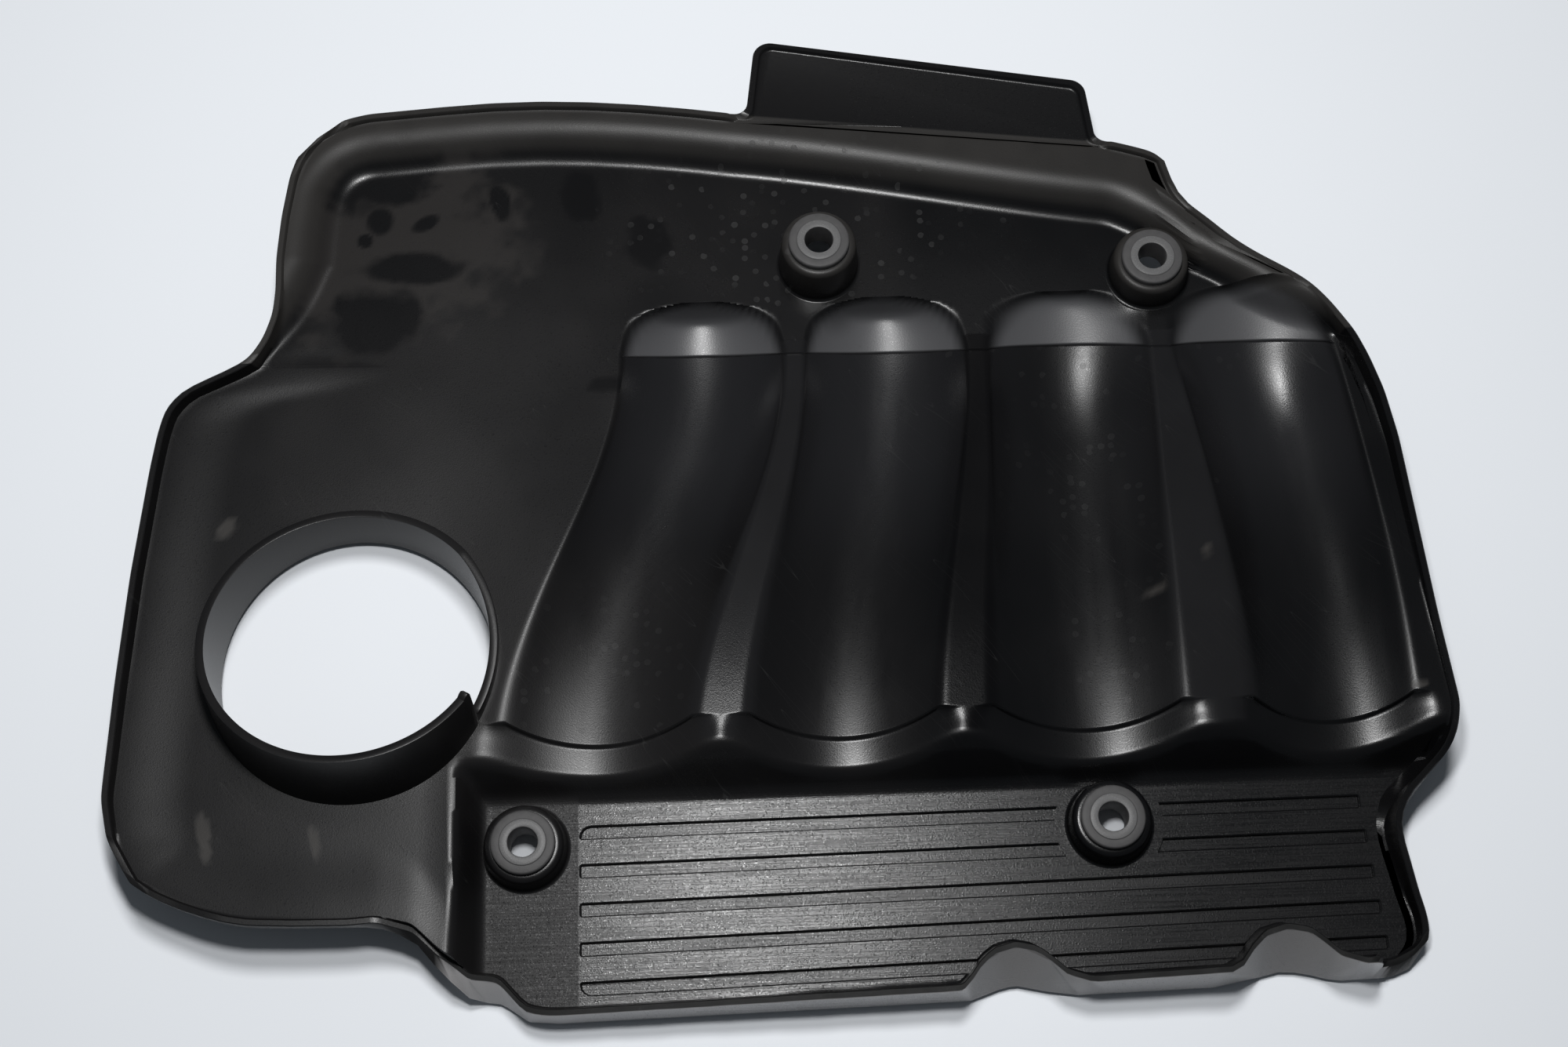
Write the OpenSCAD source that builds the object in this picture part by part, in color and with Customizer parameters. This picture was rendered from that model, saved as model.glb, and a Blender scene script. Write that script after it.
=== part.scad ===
// Engine cover for a four-cylinder engine, modelled as it lies upside down.
// X runs across the runners, Y to the rear, Z up towards the engine side.

/* [Sheet] */
// Overall width of the moulding, along X
cover_w = 503; // [470:1:540]
// Overall depth of the moulding with its rear tab, along Y
cover_d = 392; // [370:1:420]
// Thickness of the moulded wall
wall = 2.5; // [2:0.1:3.5]
// Height of the floor behind the runners, above the table
floor_z = 20; // [16:0.5:26]
// How far the webs between the runners climb from the rear to the panel
web_rise = 4; // [0:0.5:8]
// How far the sheet curls up towards the rim on the left
bowl_rise = 5; // [0:0.5:8]
// Height of the rear flange above the floor
flange_rise = 10; // [6:0.5:14]
// Width of the slope between the floor and the rear flange
slope_w = 13.5; // [8:0.5:16]
// Height of the lip that runs around the rim
lip_h = 2; // [1:0.25:4]

/* [Intake runners] */
// Number of runners
runners = 4; // [2:1:4]
// Distance between runner centres at the rear domes
rear_pitch = 72.5; // [70:0.5:73]
// Distance between runner centres at the panel
front_pitch = 92; // [88:0.5:94]
// Middle of the rear domes, along X
rear_mid_x = 82; // [78:0.5:86]
// Middle of the runner mouths at the panel, along X
front_mid_x = 68; // [64:0.5:70]
// Half the width of a runner at its dome
rear_half = 32.5; // [28:0.5:34]
// Half the width of a runner at the panel
front_half = 35; // [28:0.5:38]
// Depth of a runner at its deepest place
rear_depth = 18; // [12:0.5:18]
// Depth of a runner at the panel
front_depth = 11; // [6:0.5:14]
// How far a runner's floor climbs from its deepest place to its dome
seam_rise = 4.2; // [0:0.2:6]
// Distance from the deepest place of a runner to its dome
deep_run = 34; // [20:1:60]
// Where the domes begin, along Y
seam_y = 59; // [50:1:64]
// Length of a dome
dome_len = 25; // [18:1:28]

/* [Panel] */
// Height of the panel above the table, on its engine side
panel_z = 4.7; // [4.5:0.1:7]
// Foot of the wall that climbs from the panel to the runners, along Y
wall_foot_y = -120; // [-124:0.5:-116]
// Rise of that wall for each millimetre towards the rear
wall_slope = 1.05; // [0.8:0.05:1.6]
// Foot of the wall at the left end of the panel, along X
left_foot_x = -109; // [-112:0.5:-104]
// Number of moulded ribs along the panel
ribs = 5; // [3:1:5]
// Width of the groove that each rib leaves inside
groove_w = 4.5; // [3:0.25:6]
// Distance from the front edge to the front rib, at the left end of the panel
rib_front_left = 11.4; // [9:0.1:14]
// Distance from the front edge to the front rib, at the right end of the panel
rib_front_right = 12.3; // [9:0.1:15]
// Radius of the two finger notches in the front wall
notch_r = 15; // [12:0.5:18]
// Depth of a notch behind the front wall's top
notch_depth = 14.5; // [10:0.5:16]
// How far a notch leans to the rear, in degrees
notch_lean = 30; // [15:1:35]

/* [Oil filler collar] */
// Inner diameter of the collar
filler_d = 105; // [90:1:108]
// Thickness of the collar's wall
collar_wall = 3.2; // [2.5:0.1:4]
// How far the collar leans to the rear, in degrees
collar_tilt = 14.8; // [8:0.2:18]
// Height of the middle of the collar's rim above the table
collar_rim_z = 34; // [32:0.5:40]
// Depth of the cut at the right of the collar, below its rim
collar_cut = 9; // [4:0.5:12]

/* [Bosses and grommets] */
// Diameter of a grommet's flange
grommet_d = 24; // [22:0.5:26]
// Diameter of the hole through a grommet
bore_d = 11; // [8:0.5:13]
// Length of a grommet
grommet_len = 12; // [10:0.5:14]
// Thickness of a grommet's top flange
flange_t = 3; // [2:0.25:4]
// Thickness of the boss web that the grommet grips
web_t = 3; // [2:0.25:4]
// Diameter of the hole in the boss web
web_hole_d = 17.5; // [16:0.25:19]
// Gap between a grommet and the plastic beside it
fit_gap = 0.2; // [0.1:0.05:0.5]
// Wall of a boss at its top
boss_wall = 2.2; // [1.8:0.1:3]
// Widening of a boss from its top to its foot
boss_flare = 2; // [1:0.25:3]
// Height of the top of the rear left grommet above the table
rear_left_z = 42; // [38:0.5:46]
// Height of the top of the rear right grommet above the table
rear_right_z = 35; // [33:0.5:40]
// Height of the tops of the front grommets above the table
front_z = 17.5; // [17.5:0.5:22]

/* [Hidden] */
plastic = [0.09, 0.09, 0.10];
rubber = [0.25, 0.25, 0.26];
// Size at which the outline below was drawn, and its scale now
drawn_w = 503;
drawn_d = 392;
sx = cover_w / drawn_w;
sy = cover_d / drawn_d;
// Outline of the sheet: the left and right edges as [y, x], the others as [x, y]
left_edge = [[-152, -233], [-141, -241], [-128, -248.5], [-112, -251.5], [-92, -250.3], [-70, -249.1],
             [-26, -245.8], [17, -241], [32, -238.8], [42, -236.3], [50, -229.8], [56, -216],
             [61, -205.5], [70, -199.5], [80, -196], [90, -195], [104, -195.1], [122, -193.7],
             [140, -191], [150, -187.8], [156, -183.8], [164, -175]];
right_edge = [[-198, 217], [-190, 228], [-183, 232], [-176, 232.8], [-166, 230.8], [-153, 229],
              [-140, 227.2], [-133, 227.2], [-125, 231], [-118, 238.6], [-110, 246.5], [-103, 249.8],
              [-93, 252], [-59, 248.3], [14, 242.5], [34, 239.3], [49, 235], [59, 230.8], [72, 222.2],
              [80, 215.3], [86, 207], [93, 195.3], [100, 185.8], [110, 175.8], [116, 169],
              [122, 165.2], [128, 163.5], [138, 161]];
front_edge = [[-252, -130], [-241, -141], [-230, -148], [-212, -157], [-196, -160], [-150, -161.5],
              [-137, -166], [-127, -178], [-117, -187], [-106, -188], [-97, -195], [-90, -196],
              [216, -190], [222, -189], [232, -179]];
back_edge = [[-194, 138], [-190, 145.5], [-186, 152.8], [-182, 157.6], [-176, 162.2], [-170, 165.3],
             [-160, 167.6], [-150, 168.3], [-130, 169.8], [-110, 170.9], [-90, 171], [-70, 170],
             [-50, 168.1], [-30, 165.5], [-14, 163], [138, 145.4], [150, 141.8], [158, 139],
             [163, 134], [168, 126]];
// Height of the rim: along the sides as [y, z], along the front as [x, z]
left_rim = [[-150, 22], [-103, 25], [-60, 26], [50, 27], [100, 31], [140, 32]];
right_rim = [[-192, 6], [-186, 9], [-176, 15], [-140, 19], [-103, 25], [-60, 26], [50, 27],
             [100, 31], [140, 32]];
front_rim = [[-250, 24], [-150, 22], [-135, 17], [-122, 14], [-100, 12], [-90, 13], [212, 20]];
// How far the top of the front wall stands behind its foot, as [x, y]
front_wall_lean = [[-160, 0], [-138, 2], [-122, 6], [-108, 6], [-97, 2], [-85, 1.1], [60, 1.6],
                   [204, 3], [213, 0]];
// Where the rim changes from the sides to the front wall, to the flange and to the tab
front_rim_y = -150;
front_rim_x = [-200, 215];
flange_rim_y = [120, 140];
tab_rim_x = [-12, 136];
edge_round = 4;
// Rear tab
tab_points = [[-8, 150], [-6.5, 164], [-2, 196.7], [132, 173], [133.5, 148], [134, 138]];
tab_round = 7;
tab_hidden_round = 1;
tab_radii = [tab_hidden_round, tab_round, tab_round, tab_round, tab_round, tab_hidden_round];
tab_mid_x = 60;
tab_free_y = 155;
tab_lip_y = 160;
// Places on the outline as drawn, and today
collar_at = placed([-162, -54]);
boss_at = [for (p = [[20.5, 99], [152.5, 91], [-97.5, -132], [120.5, -130]]) placed(p)];
notch_x = [81, 180];
seam = sy * seam_y;
dome_end = seam + dome_len;
foot_y = sy * wall_foot_y;
mouth_y = foot_y + 17;
wall_top_y = foot_y + 19;
left_foot = sx * left_foot_x;
rear_mid = sx * rear_mid_x;
front_mid = sx * front_mid_x;
web_run = sy * 140;
bowl_y = [-60, 60];
bowl_w = 28;
bowl_dip = 1;
bowl_from = placed([-75, 92]);
bowl_blend = placed([60, 26]);
deep_y = seam - deep_run;
dome_depth = rear_depth - seam_rise;
dome_pitch = 2 * seam_rise / deep_run * dome_len / dome_depth;
side_flange_y = [80, 105];
rib_x = [sx * -76, sx * 218];
rib_rear_left = 6.3;
rib_rear_right = 4.3;
rib_end_gap = 5.5;
rim_gap = 8;
skin = 0.4;
join = 1;
fine = 40;
collar_foot_z = 3.5;
collar_draft = 1.5;
collar_h = 60;
cut_front = (filler_d / 2 + collar_wall) * sin(31);
cut_rear = (filler_d / 2 + collar_wall) * sin(40);
cut_inset = filler_d / 2 * cos(40) - join;
recess_r = grommet_d / 2 + 0.5;
boss_top = -flange_t;
foot_t = grommet_len - flange_t - web_t;
boss_r = recess_r + boss_wall;
flange_z = floor_z + flange_rise;

function placed(p) = [sx * p.x, sy * p.y];
function mix(a, b, t) = a + (b - a) * t;
function clamp(t) = min(1, max(0, t));
function ease(t) = let(c = clamp(t)) c * c * (3 - 2 * c);
function smin(a, b, k) = min(a, b) - pow(max(k - abs(a - b), 0), 2) / (4 * k);
function smax(a, b, k) = -smin(-a, -b, k);
function soft(table, at, r) =
    (lookup(at - r, table) + 2 * lookup(at, table) + lookup(at + r, table)) / 4;

// Edges of the sheet
function left_x(y) = sx * soft(left_edge, y / sy, edge_round);
function right_x(y) = sx * soft(right_edge, y / sy, edge_round);
function front_y(x) = sy * soft(front_edge, x / sx, edge_round);
function back_y(x) = sy * soft(back_edge, x / sx, edge_round);

// Middle and half width of runner i at y; the last runner follows the rim
function mouth_t(i, y) =
    let(t = clamp((seam - y) / (seam - mouth_y))) i < 3 ? ease(t) : t * (2 - t);
function runner_x(i, y) = mix(rear_mid + (i - 1.5) * rear_pitch,
                              front_mid + (i - 1.5) * front_pitch, mouth_t(i, y));
function runner_half(i, y) = mix(rear_half, i < 3 ? front_half : front_half - 5, mouth_t(i, y));
// Depth of a runner along its middle: rising from its deepest place to the seam, and over the dome to 0
function runner_depth(y) =
    y < deep_y ? mix(rear_depth, front_depth, ease((deep_y - y) / (deep_y - mouth_y)))
    : y < seam ? rear_depth - seam_rise * pow((y - deep_y) / deep_run, 2)
    : let(t = clamp((y - seam) / dome_len)) dome_depth * (1 - dome_pitch * t - (1 - dome_pitch) * t * t);

// Depth below the web of a round channel with this half width and depth, at x from its middle
function arc_depth(x, half, depth) =
    let(r = (half * half + depth * depth) / (2 * depth))
    abs(x) >= half ? 0 : sqrt(r * r - x * x) - (r - depth);
function channel(i, x, y) =
    let(t = clamp((y - seam) / dome_len), k = sqrt(max(0.0001, 1 - t * t)))
    arc_depth(x - runner_x(i, y), runner_half(i, y) * k, max(0.01, runner_depth(y)));
function channels(x, y) = max([for (i = [0:runners - 1]) channel(i, x, y)]);

// Height of the engine side of the sheet
function web_z(x, y) =
    let(edge = min(x - left_x(y), y - front_y(x)),
        webs = floor_z + web_rise * ease((seam - y) / web_run),
        bowl = floor_z - bowl_dip + bowl_dip * ease((y / sy - bowl_y[0]) / (bowl_y[1] - bowl_y[0]))
            + bowl_rise * ease(1 - edge / bowl_w))
    mix(webs, bowl, ease((bowl_from.x - x) / bowl_blend.x) * ease((bowl_from.y - y) / bowl_blend.y));
// 1 on the raised flange along the rear, 0 on the floor; it narrows and fades out down both sides
function flange(x, y) =
    let(right = (right_x(y) - x) * 0.8 + max(0, sy * side_flange_y[0] - y),
        left = x - left_x(y) + 3 + max(0, sy * side_flange_y[1] - y) * 0.4)
    pow(1 - clamp((min(back_y(x) - y, right, left) - wall) / slope_w), 2);
function upper_z(x, y) = web_z(x, y) - channels(x, y) + flange_rise * flange(x, y);
function pit_z(x, y) =
    panel_z + smax(0, smax((y - foot_y) * wall_slope, (left_foot - x) * 1.1, 3), 3);
function sheet_z(x, y) = smin(upper_z(x, y), pit_z(x, y), 4);
function steep(x, y) =
    let(gx = (sheet_z(x + 1, y) - sheet_z(x - 1, y)) / 2, gy = (sheet_z(x, y + 1) - sheet_z(x, y - 1)) / 2)
    min(2, sqrt(1 + gx * gx + gy * gy));
function rim_z(x, y) =
    let(u = x / sx, v = y / sy)
    v < front_rim_y && u > front_rim_x[0] && u < front_rim_x[1] ? lookup(u, front_rim)
    : u > tab_rim_x[0] && u < tab_rim_x[1] && v > flange_rim_y[0] ? flange_z
    : v > flange_rim_y[1] ? flange_z + lip_h
    : lookup(v, u < 0 ? left_rim : right_rim);
function wall_lean(x) = lookup(x / sx, front_wall_lean);

// Grid lines: key lines across and along, each cell given as [key line, share, offset]
function key_x(k, y) =
    let(yy = min(y, dome_end), l = left_x(yy), r = right_x(yy),
        i = floor((k - 1) / 2), side = k % 2 == 1 ? -1 : 1,
        x = k == 0 ? l : k == 2 * runners + 1 ? r
            : min(runner_x(i, yy) + side * runner_half(i, yy), r - rim_gap - (2 * runners - k) * 2))
    y <= yy ? x : left_x(y) + (x - l) / (r - l) * (right_x(y) - left_x(y));
function key_y(k, x) =
    k == 0 ? front_y(x) : k == 1 ? foot_y : k == 2 ? wall_top_y : k == 3 ? seam
    : k == 4 ? dome_end : k == 5 ? back_y(x) - slope_w - wall : back_y(x);
function col_x(c, y) = mix(key_x(c[0], y), key_x(c[0] + 1, y), c[1]) + c[2];
function row_y(r, x) = mix(key_y(r[0], x), key_y(r[0] + 1, x), r[1]) + r[2];
function spread(k, n) = [for (j = [1:n]) [k, j / n, 0]];
last_x = 2 * runners;
last_y = 5;
cols = concat([[0, 0, 0], [0, 0, wall], [0, 0, wall + skin], [0, 0, wall + 0.7 * slope_w]], spread(0, 8),
              [for (i = [0:runners - 1]) each
                  concat(spread(2 * i + 1, 6), i < runners - 1 ? spread(2 * i + 2, 1) : [])],
              [[last_x, 0.5, 0], [last_x, 1, -wall - skin], [last_x, 1, -wall], [last_x, 1, 0]]);
rows = concat([[0, 0, 0], [0, 0, wall], [0, 0, wall + skin]], spread(0, 3), spread(1, 3), spread(2, 8),
              spread(3, 4), spread(4, 2), [[5, 0.55, 0]],
              [[last_y, 1, -wall - skin], [last_y, 1, -wall], [last_y, 1, 0]]);
nx = len(cols);
ny = len(rows);
function grid_xy(c, r) =
    let(x0 = col_x(c, row_y(r, 0)), y0 = row_y(r, x0), x1 = col_x(c, y0), y1 = row_y(r, x1),
        x2 = col_x(c, y1), y2 = row_y(r, x2))
    [col_x(c, y2), y2];
function on_rim(i, n) = i < 2 || i > n - 3;

module sheet() {
    xy = [for (r = rows) [for (c = cols) grid_xy(c, r)]];
    top = [for (j = [0:ny - 1]) for (i = [0:nx - 1]) let(p = xy[j][i])
        [p.x, p.y + (j < 2 ? wall_lean(p.x) : 0),
         on_rim(i, nx) || on_rim(j, ny) ? rim_z(p.x, p.y) : sheet_z(p.x, p.y)]];
    under = [for (j = [0:ny - 1]) for (i = [0:nx - 1]) let(p = xy[j][i])
        [p.x, p.y, min(sheet_z(p.x, p.y), rim_z(p.x, p.y)) - wall * steep(p.x, p.y)]];
    n = nx * ny;
    cells = [for (j = [0:ny - 2]) for (i = [0:nx - 2]) let(a = j * nx + i, b = a + nx)
        each [[a, b, b + 1], [a, b + 1, a + 1], [n + a, n + b + 1, n + b], [n + a, n + a + 1, n + b + 1]]];
    sides = [for (i = [0:nx - 2]) let(a = i, b = (ny - 1) * nx + i)
        each [[a, a + 1, n + a + 1], [a, n + a + 1, n + a], [b, n + b, n + b + 1], [b, n + b + 1, b + 1]]];
    ends = [for (j = [0:ny - 2]) let(a = j * nx, b = a + nx - 1)
        each [[a, n + a, n + a + nx], [a, n + a + nx, a + nx],
              [b, b + nx, n + b + nx], [b, n + b + nx, n + b]]];
    polyhedron(concat(top, under), concat(cells, sides, ends));
}

// Polygon with each corner rounded to its own radius
function unit(v) = v / norm(v);
function corner(p, a, b, r) =
    let(u = unit(a - p), v = unit(b - p), half = acos(u * v) / 2, d = r / tan(half),
        m = p + unit(u + v) * r / sin(half), s = p + u * d - m, sweep = 180 - 2 * half,
        turn = sign(cross(p - a, b - p)))
    [for (k = [0:4]) let(w = turn * sweep * k / 4)
        m + [s.x * cos(w) - s.y * sin(w), s.x * sin(w) + s.y * cos(w)]];
function rounded(pts, radii) = let(n = len(pts))
    [for (k = [0:n - 1]) each corner(pts[k], pts[(k + n - 1) % n], pts[(k + 1) % n], radii[k])];
function tab_outline(inset) =
    [for (p = tab_points)
        placed([p.x + (p.x < tab_mid_x ? inset : -inset), p.y > tab_free_y ? p.y - inset : p.y])];

module tab() {
    translate([0, 0, flange_z - wall]) linear_extrude(wall) polygon(rounded(tab_outline(0), tab_radii));
    translate([0, 0, flange_z - wall / 2]) difference() {
        linear_extrude(lip_h + wall / 2) polygon(rounded(tab_outline(0), tab_radii));
        translate([0, 0, -join]) linear_extrude(lip_h + wall + 2 * join)
            polygon(rounded(tab_outline(wall), [for (r = tab_radii) max(tab_hidden_round / 2, r - wall)]));
        translate([-cover_w / 4, 0, -join]) cube([cover_w, sy * tab_lip_y, lip_h + wall + 2 * join]);
    }
}

// A straight slot with round ends, from a to b
module slot(a, b, w, h) {
    linear_extrude(h) hull() {
        translate(a) circle(d = w, $fn = 12);
        translate(b) circle(d = w, $fn = 12);
    }
}
// The ribs are spread evenly between the foot of the wall and the front edge
function rib_y(i, x) =
    let(t = (x - rib_x[0]) / (rib_x[1] - rib_x[0]), share = i / max(1, ribs - 1))
    mix(mix(foot_y - rib_rear_left, front_y(rib_x[0]) + rib_front_left, share),
        mix(foot_y - rib_rear_right, front_y(rib_x[1]) + rib_front_right, share), t);
// Stretches of rib i: the first two stop on either side of the front right boss
function rib_parts(i) =
    let(gap = boss_r + boss_flare + rib_end_gap, at = boss_at[3].x,
        meets = abs(rib_y(i, at) - boss_at[3].y) < gap)
    meets ? [[rib_x[0], at - gap - rib_end_gap], [at + gap, rib_x[1]]] : [[rib_x[0], rib_x[1]]];
module rib_slots(w, h) {
    for (i = [0:ribs - 1]) for (p = rib_parts(i))
        slot([p[0], rib_y(i, p[0])], [p[1], rib_y(i, p[1])], w, h);
}

module collar_shell() {
    intersection() {
        translate([collar_at.x, collar_at.y, collar_rim_z]) rotate([-collar_tilt, 0, 0])
            translate([0, 0, -collar_h]) cylinder(r1 = filler_d / 2 + collar_wall + collar_draft,
                                                  r2 = filler_d / 2 + collar_wall, h = collar_h, $fn = fine);
        translate([collar_at.x - filler_d, collar_at.y - filler_d, collar_foot_z])
            cube([2 * filler_d, 2 * filler_d, collar_h + filler_d]);
    }
}
// The rim of the collar is cut low at the right, beside the first runner
module collar_body() {
    difference() {
        collar_shell();
        translate([collar_at.x + cut_inset, collar_at.y - cut_front, collar_rim_z - collar_cut])
            cube([filler_d, cut_front + cut_rear, collar_h]);
    }
}
module collar_bore() {
    translate([collar_at.x, collar_at.y, collar_rim_z]) rotate([-collar_tilt, 0, 0])
        translate([0, 0, -collar_h - join]) cylinder(d = filler_d, h = 2 * collar_h, $fn = fine);
}

function boss_z(i) = i == 0 ? rear_left_z : i == 1 ? rear_right_z : front_z;
function boss_floor(i) = i < 2 ? floor_z : panel_z;
module boss_body(i) {
    h = boss_z(i) + boss_top - boss_floor(i) + wall;
    translate([boss_at[i].x, boss_at[i].y, boss_z(i) + boss_top - h])
        cylinder(r1 = boss_r + boss_flare, r2 = boss_r, h = h, $fn = fine);
}
module boss_bore(i) {
    translate([boss_at[i].x, boss_at[i].y, 0]) {
        translate([0, 0, -join]) cylinder(r = recess_r, h = boss_z(i) + boss_top - web_t + join, $fn = fine);
        cylinder(d = web_hole_d, h = boss_z(i), $fn = fine);
    }
}

// The space of notch i, a cylinder that leans to the rear, and the wall that follows it
module notch_space(i, grow) {
    x = sx * notch_x[i];
    top = lookup(notch_x[i], front_rim);
    translate([x, front_y(x) + notch_depth - notch_r / cos(notch_lean), top]) rotate([-notch_lean, 0, 0])
        translate([0, 0, -2 * top]) cylinder(r = notch_r + grow, h = 4 * top, $fn = fine);
}
module notch_wall(i) {
    x = sx * notch_x[i];
    intersection() {
        notch_space(i, wall);
        translate([x - 2 * notch_r, front_y(x) + wall_lean(x) + skin, panel_z - wall])
            cube([4 * notch_r, 2 * notch_r, lookup(notch_x[i], front_rim) - panel_z + wall]);
    }
}

module cover() {
    color(plastic) difference() {
        union() {
            sheet();
            tab();
            rib_slots(groove_w + wall, panel_z - wall / 2);
            collar_body();
            for (i = [0:3]) boss_body(i);
            for (i = [0:1]) notch_wall(i);
        }
        translate([0, 0, wall]) rib_slots(groove_w, panel_z);
        collar_bore();
        for (i = [0:3]) boss_bore(i);
        for (i = [0:1]) notch_space(i, 0);
    }
}

module grommet(i) {
    r = grommet_d / 2;
    neck = web_hole_d / 2 - fit_gap;
    round_r = 1;
    low = -grommet_len;
    foot_r = recess_r - 2 * fit_gap;
    color(rubber) translate([boss_at[i].x, boss_at[i].y, boss_z(i)])
        rotate_extrude($fn = fine) polygon([
            [bore_d / 2, low], [foot_r - round_r, low], [foot_r, low + round_r],
            [foot_r, boss_top - web_t - fit_gap], [neck, boss_top - web_t - fit_gap], [neck, boss_top],
            [r, boss_top], [r, -round_r], [r - round_r / 3, -round_r / 3], [r - round_r, 0], [bore_d / 2, 0]]);
}

cover();
grommet(0);  // grommet_rear_left
grommet(1);  // grommet_rear_right
grommet(2);  // grommet_front_left
grommet(3);  // grommet_front_right
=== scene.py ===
import math

import bpy
import numpy as np
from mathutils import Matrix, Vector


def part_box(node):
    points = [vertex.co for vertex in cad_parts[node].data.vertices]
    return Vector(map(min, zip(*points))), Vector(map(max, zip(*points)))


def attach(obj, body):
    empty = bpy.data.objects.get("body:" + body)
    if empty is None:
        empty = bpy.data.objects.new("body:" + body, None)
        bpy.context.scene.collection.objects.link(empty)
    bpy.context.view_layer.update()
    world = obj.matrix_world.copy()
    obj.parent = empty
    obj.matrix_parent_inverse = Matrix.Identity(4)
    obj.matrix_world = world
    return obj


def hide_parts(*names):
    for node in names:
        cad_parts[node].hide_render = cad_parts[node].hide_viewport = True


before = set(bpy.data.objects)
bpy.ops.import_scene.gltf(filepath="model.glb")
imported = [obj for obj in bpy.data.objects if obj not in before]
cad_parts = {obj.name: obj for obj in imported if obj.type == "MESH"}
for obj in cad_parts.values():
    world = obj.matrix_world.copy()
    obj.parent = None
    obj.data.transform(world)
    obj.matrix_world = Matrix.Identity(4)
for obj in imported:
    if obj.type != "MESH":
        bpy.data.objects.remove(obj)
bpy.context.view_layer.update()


# The moulded sheet: one even wall of black glass-filled nylon, injection moulded.
# Its outline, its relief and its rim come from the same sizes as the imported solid.
# All sizes are in millimetres until the mesh is made, and heights are above the table.
MM = 0.001
cover_low, cover_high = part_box("cover")
drawn_w, drawn_d = 501.8, 390.6
x_fit = (cover_high.x - cover_low.x) / MM / drawn_w
y_fit = (cover_high.y - cover_low.y) / MM / drawn_d
wall = 2.5
rim_round, rim_dip = 0.35, 0.3
rim_fillet, rim_face_slope = 2.2, 6.0
corner_reach = 5.0
most_slant = 2.2

# Floor, webs between the runners, and the shallow bowl to the left of them
floor_z = 20.0
web_rise, web_climb = 4.0, 140
bowl_dip, bowl_rise, bowl_w = 1.0, 1.8, 28.0

# The raised rear flange, its rounded shoulder, and the lip along its edge
flange_z, flange_w, flange_wider = 30.0, 3.2, 10.0
lip_h = 2.0
shoulder_r, shoulder_share, shoulder_foot = 13.5, 0.7, 0.3
slope_w = 18.0
flange_right_y, flange_right_share, flange_right_turn = 80, 0.8, 8
flange_left_y, flange_left_in, flange_left_lean, flange_left_turn = 105, 3, 0.4, 12
tab_left_x, tab_right_x = -9, 136

# The sunk front panel and the slope behind it
panel_z = 4.7
panel_back_y, slope_top_y, slope_rise = -113.5, -101.0, 1.35
panel_left_x, left_rise = -114.0, 1.9
panel_corner, panel_fillet, brow_round = 5.0, 4.0, 3.5
least_panel_d, least_slope_d = 20.0, 6.0

# The four intake runners, from their rear ends to their mouths at the panel
runner_count = 4
rear_x, rear_pitch, rear_half, rear_depth, deep_y = 82.0, 72.5, 32.5, 17.8, 25.0
mouth_x, mouth_pitch, mouth_half, mouth_depth, mouth_y = 68.0, 92.0, 35.0, 11.0, -103.0
last_mouth_half = 30.0
seam_left_y, seam_right_y, seam_lean = 61.0, 57.5, 0.37
seam_left_x, seam_w = -60, 285
seam_deep, seam_half = 0.5, 0.6
seam_rise = [2.2, 2.2, 6.5, 6.5]
dome_top_y, dome_power = 84.0, 14
dome_slope = [0.25, 0.25, 0.36, 0.36]
step_y, step_sag, step_h, step_run, step_side = -87.0, 8.0, 1.2, 1.5, 4.0
edge_round, dome_edge, body_edge, mouth_edge = 1.4, 3.4, 1.6, 3.0

# Outline of the sheet: the sides as (y, x), the front and back as (x, y)
left_edge = [(-152, -233), (-141, -241), (-128, -248.5), (-112, -251.5), (-92, -250.3), (-70, -249.1),
             (-26, -245.8), (17, -241), (32, -238.8), (42, -236.3), (50, -229.8), (56, -216), (61, -205.5),
             (70, -199.5), (80, -196), (90, -195), (104, -195.1), (122, -193.7), (140, -191), (150, -187.8),
             (156, -183.8), (164, -175)]
right_edge = [(-200, 212), (-184.6, 229), (-179.2, 232.8), (-174, 233.8), (-168, 233.2), (-160, 231.2),
              (-150, 229.4), (-140, 227.4), (-133, 227.2), (-125, 231), (-118, 238.6), (-110, 246.5),
              (-103, 249.8), (-93, 252), (-59, 248.3), (14, 242.5), (34, 239.3), (49, 235), (59, 230.8),
              (72, 222.2), (80, 215.3), (86, 207), (93, 195.3), (100, 185.8), (110, 175.8), (116, 169),
              (122, 165.2), (128, 163.5), (138, 161)]
front_edge = [(-252, -130), (-247, -135), (-241, -141), (-236, -145.5), (-229, -149.6), (-221, -153.2),
              (-212, -156.5), (-204, -158.8), (-196, -160.2), (-180, -161), (-150, -161.5),
              (-137, -166), (-127, -178), (-117, -187), (-106, -188), (-97, -195), (-90, -196),
              (216, -190), (222, -189), (226.4, -186.7), (229, -184.6), (240, -172)]
back_edge = [(-194, 138), (-190, 145.5), (-186, 152.8), (-182, 157.6), (-176, 162.2), (-170, 165.3),
             (-160, 167.6), (-150, 168.3), (-130, 169.8), (-110, 170.9), (-90, 171), (-70, 170), (-50, 168.1),
             (-30, 165.5), (-14, 163), (138, 145.4), (150, 141.8), (158, 139), (163, 134), (168, 126)]
# Height of the rim, along Y at the sides and along X at the front
left_rim = [(-150, 22), (-103, 25), (-60, 26), (50, 27), (100, 31), (140, 32)]
right_rim = [(-192, 6), (-186, 7), (-176, 9.5), (-140, 14), (-112, 21), (-103, 25), (-60, 26), (50, 27),
             (100, 31), (140, 32)]
front_rim = [(-250, 24), (-150, 22), (-135, 17), (-122, 14), (-100, 12), (-90, 13), (212, 20), (216, 9),
             (224, 6)]
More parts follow.
